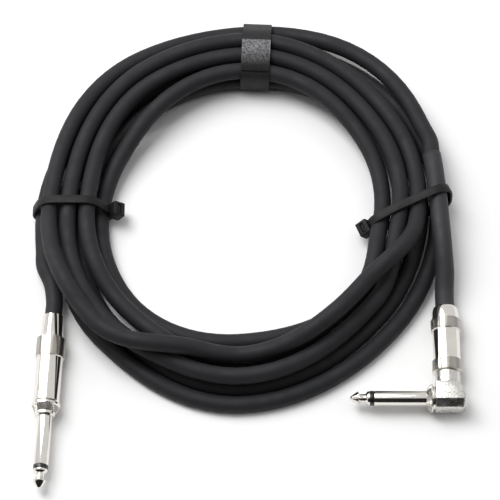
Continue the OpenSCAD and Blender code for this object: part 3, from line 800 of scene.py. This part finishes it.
def straight_barrel():
    """Barrel with a plain body, a knurled band and a tapered neck."""
    body_r, knurl_r, body_l, knurl_l, neck_l = 5.6, 6.1, 20.2, 9.2, 10.7
    neck_r, end_r, mouth_r = 5.05, 4.4, 3.8
    bore_l, length = body_l + knurl_l, body_l + knurl_l + neck_l
    profile = [(BORE_R, 0), (body_r - 2 * EDGE, 0), (body_r, 2 * EDGE), (body_r, body_l)]
    profile += knurl(knurl_r, body_l + EDGE, knurl_r, bore_l - EDGE)
    profile += [(neck_r, bore_l)] + chamfered_end(end_r, length)
    profile += [(mouth_r, length), (mouth_r, bore_l), (BORE_R, bore_l)]
    return turned("straight_barrel_piece", straight_face, straight_way, profile)


pin_end("straight", straight_at, straight_tip_way)
place(straight_sleeve(), "lead", "nickel", "straight_sleeve")
place(straight_barrel(), "straight_barrel", "nickel", "straight_barrel")

# Cable

route = cable_route()
cable = place(tube("cable", route, JACKET_R), "lead", "jacket",
              "cable_coil", "cable_straight_end", "cable_angle_end")

# Marker sleeve

marker_knots = [beside_loop(1, p) for p in ANGLE_ROUTE]
marker_knots += [angle_rear + SLIDE_RUN * angle_way, angle_rear - MARKER_INSIDE * angle_way]
marker_route = smooth_route(marker_knots, END_STEP)
place(tube("marker", marker_route, MARKER_R), "lead", "shrink", "marker_sleeve")


# Ties and strap

def hull(points):
    """Outline drawn tight round points in a plane, anticlockwise."""
    def half(ordered):
        edge = []
        for p in ordered:
            while len(edge) > 1 and (edge[-1] - edge[-2]).cross(p - edge[-2]) <= 0:
                edge.pop()
            edge.append(p)
        return edge[:-1]
    ordered = sorted(points, key=lambda p: (p.x, p.y))
    return half(ordered) + half(ordered[::-1])


def outward(behind, ahead):
    """Direction away from the middle of an anticlockwise outline, between two of its points."""
    run = (ahead - behind).normalized()
    return Vector((run.y, -run.x))


def even_steps(outline, step):
    """The same closed outline with points about step apart."""
    points = []
    for p, q in zip(outline, outline[1:] + outline[:1]):
        count = max(1, round((q - p).length / step))
        points += [p + (q - p) * k / count for k in range(count)]
    return points


def eased(outline):
    """The same outline with rounder corners, a little further out so that it still clears the strands."""
    count = len(outline)
    window = range(-WRAP_EASE, WRAP_EASE + 1)
    soft = []
    for i in range(count):
        total = sum((outline[(i + k) % count] for k in window), Vector((0, 0)))
        soft.append(total / len(window))
    rounder = []
    for i, p in enumerate(soft):
        rounder.append(p + outward(soft[i - 1], soft[(i + 1) % count]) * WRAP_LOOSE)
    return rounder


def finer(path):
    """The same path with points close enough to be found in a narrow band."""
    points = []
    for p, q in zip(path, path[1:]):
        count = math.ceil((q - p).length / STRAND_STEP)
        points += [p.lerp(q, k / count) for k in range(count)]
    return points


class Wrapping:
    """Plane across the bundle at a clock angle, and the outline of the strands that cross it."""
    def __init__(self, angle, tilt, width, grow):
        a = math.radians(angle)
        self.at = LOOP_CENTRE + loop_radius(a) * Vector((-math.cos(a), math.sin(a), 0))
        way = math.radians(180 - angle + tilt)
        self.out = Vector((math.cos(way), math.sin(way), 0))
        self.aside = Vector((-self.out.y, self.out.x, 0))
        strands = [(p, JACKET_R) for p in finer(route)] + [(p, MARKER_R) for p in finer(marker_route)]
        turns = [2 * math.pi * k / CABLE_SIDES for k in range(CABLE_SIDES)]
        rims = []
        for p, r in strands:
            v = p - self.at
            if abs(v.dot(self.aside)) < width / 2 and abs(v.dot(self.out)) < WRAP_REACH:
                x, y, rim_r = v.dot(self.out), p.z, r + grow
                rims += [Vector((x + rim_r * math.cos(t), y + rim_r * math.sin(t))) for t in turns]
        self.outline = eased(even_steps(hull(rims), WRAP_STEP))

    def point(self, along, up, aside):
        """Point of the plane, or beside it, in the shared frame."""
        return self.at + along * self.out + aside * self.aside + Vector((0, 0, up))


def band(name, wrapping, outline, width, thick, closed, rows, weave=0):
    """Flat band on an outline, with rows of points across its outer and inner faces. A weave lifts every
    other point of the outer one."""
    sections = []
    for i, p in enumerate(outline):
        ahead, behind = i + 1, i - 1
        if not closed:
            ahead, behind = min(ahead, len(outline) - 1), max(behind, 0)
        normal = outward(outline[behind], outline[ahead % len(outline)])
        section = []
        for k in range(rows + 1):
            q = p + (thick + weave * ((i + k) % 2)) * normal
            section.append(wrapping.point(q.x, max(q.y, 0), (k / rows - 0.5) * width))
        for k in range(rows, -1, -1):
            section.append(wrapping.point(p.x, max(p.y, 0), (k / rows - 0.5) * width))
        sections.append(section)
    if not closed:
        return stacked(name, sections)
    points = [p for section in sections for p in section]
    faces = loop_faces(len(sections) + 1, len(sections[0]))
    return closed_object(name, points, [tuple(v % len(points) for v in face) for face in faces])


def tie_head(name, wrapping):
    """Cube-like head on the inner side of the bundle, turned so that the cut tail points up and in."""
    inner = min(p.x for p in wrapping.outline)
    centre = wrapping.point(inner - TIE_HEAD_OUT, TIE_HEAD_Z, 0)
    lean = math.radians(TIE_HEAD_LEAN)
    up, inward = Vector((0, 0, 1)), -wrapping.out
    slot_way = math.cos(lean) * up + math.sin(lean) * inward
    side_way = math.sin(lean) * up - math.cos(lean) * inward
    axes = (slot_way, side_way, wrapping.aside)
    half = TIE_HEAD / 2
    head = block(name, centre, axes, (half, half, TIE_HEAD_W / 2))
    soften(head, TIE_HEAD_ROUND)
    slot = block("slot", centre + slot_way * half, axes, (half, TIE_SLOT_T / 2, TIE_SLOT_W / 2))
    cut(head, slot, "DIFFERENCE")
    tail = block("tail", centre + slot_way * TIE_TAIL_UP, axes, TIE_TAIL_HALF)
    cut(head, tail, "UNION")
    smooth_shading(head)
    return head


def cable_tie(name, angle, tilt, node):
    """Tie round the bundle at a clock angle, with its head."""
    wrapping = Wrapping(angle, tilt, TIE_W, WRAP_CLEAR)
    strip = band(name, wrapping, wrapping.outline, TIE_W, TIE_T, True, 1)
    soften(strip, TIE_ROUND, segments=2)
    place(strip, "lead", "nylon", node)
    place(tie_head(name + "_head", wrapping), "lead", "nylon")


cable_tie("tie_left", angle=0, tilt=0, node="cable_tie_left")
cable_tie("tie_right", angle=180, tilt=23, node="cable_tie_right")


def top_strap():
    """Woven strap: one turn round the bundle, and a second layer across its top."""
    wrapping = Wrapping(STRAP_CLOCK, STRAP_TILT, STRAP_W, STRAP_CLEAR)
    turn = band("strap", wrapping, wrapping.outline, STRAP_W, STRAP_T, True, STRAP_ROWS)
    middle = sum(p.y for p in wrapping.outline) / len(wrapping.outline)
    lap = [p for p in wrapping.outline if STRAP_LAP[0] < p.x < STRAP_LAP[1] and p.y > middle]
    lap.sort(key=lambda p: -p.x)
    outer = []
    for i, p in enumerate(lap):
        normal = outward(lap[max(i - 1, 0)], lap[min(i + 1, len(lap) - 1)])
        outer.append(p + normal * (STRAP_T + STRAP_LAYER_GAP))
    layer = band("strap_lap", wrapping, outer, STRAP_W, STRAP_T, False, STRAP_ROWS, STRAP_WEAVE)
    place(turn, "lead", "webbing", "top_strap")
    place(layer, "lead", "webbing")
    # The top layer's looped face, with painted glints and painted sheen
    layer.data.materials[0] = loops_material()


top_strap()


# Stage, light and camera

def area_light(name, at, size, watts):
    """Rectangular lamp that points at the middle of the object."""
    data = bpy.data.lights.new(name, "AREA")
    data.shape = "RECTANGLE"
    data.size, data.size_y = size
    data.energy = watts
    lamp = bpy.data.objects.new(name, data)
    lamp.location = at
    lamp.rotation_euler = (-Vector(at)).to_track_quat("-Z", "Y").to_euler()
    bpy.context.scene.collection.objects.link(lamp)


def floor():
    half = FLOOR_HALF
    corners = [(-half, -half, 0), (half, -half, 0), (half, half, 0), (-half, half, 0)]
    obj = new_object("floor", corners, [(0, 1, 2, 3)], smooth=False)
    mat, shader = material("paper", (0.94, 0.94, 0.94), 0.9)
    shader.inputs["Specular IOR Level"].default_value = 0.1
    obj.data.materials.append(mat)


def world():
    """Pale room with a dark side in front of the object, which polished metal shows."""
    sky = bpy.data.worlds.new("studio")
    sky.use_nodes = True
    room = sky.node_tree.nodes["Background"]
    room.inputs["Color"].default_value = (1, 1, 1, 1)
    view = add(sky, "ShaderNodeTexCoord")
    axes = add(sky, "ShaderNodeSeparateXYZ")
    join(sky, view.outputs["Generated"], axes.inputs["Vector"])
    remap(sky, axes.outputs["Y"], DARK_SIDE, (ROOM_DARK, ROOM), room.inputs["Strength"],
          interpolation_type="SMOOTHSTEP")
    bpy.context.scene.world = sky


def camera():
    data = bpy.data.cameras.new("camera")
    data.sensor_width = SENSOR_WIDTH
    data.lens = SENSOR_WIDTH * FOCAL_PIXELS / IMAGE_WIDTH
    obj = bpy.data.objects.new("camera", data)
    back = Vector((0, -math.cos(CAMERA_ELEVATION), math.sin(CAMERA_ELEVATION)))
    obj.location = CAMERA_TARGET + CAMERA_DISTANCE * back
    obj.rotation_euler = (-back).to_track_quat("-Z", "Y").to_euler()
    bpy.context.scene.collection.objects.link(obj)
    bpy.context.scene.camera = obj


floor()
world()
area_light("overhead", at=(-0.45, 0.35, 1.05), size=(0.55, 0.9), watts=11)
area_light("left_strip", at=(-1.03, 0.48, 0.51), size=(0.05, 0.6), watts=1.5)
camera()
bpy.context.scene.view_settings.view_transform = "Standard"
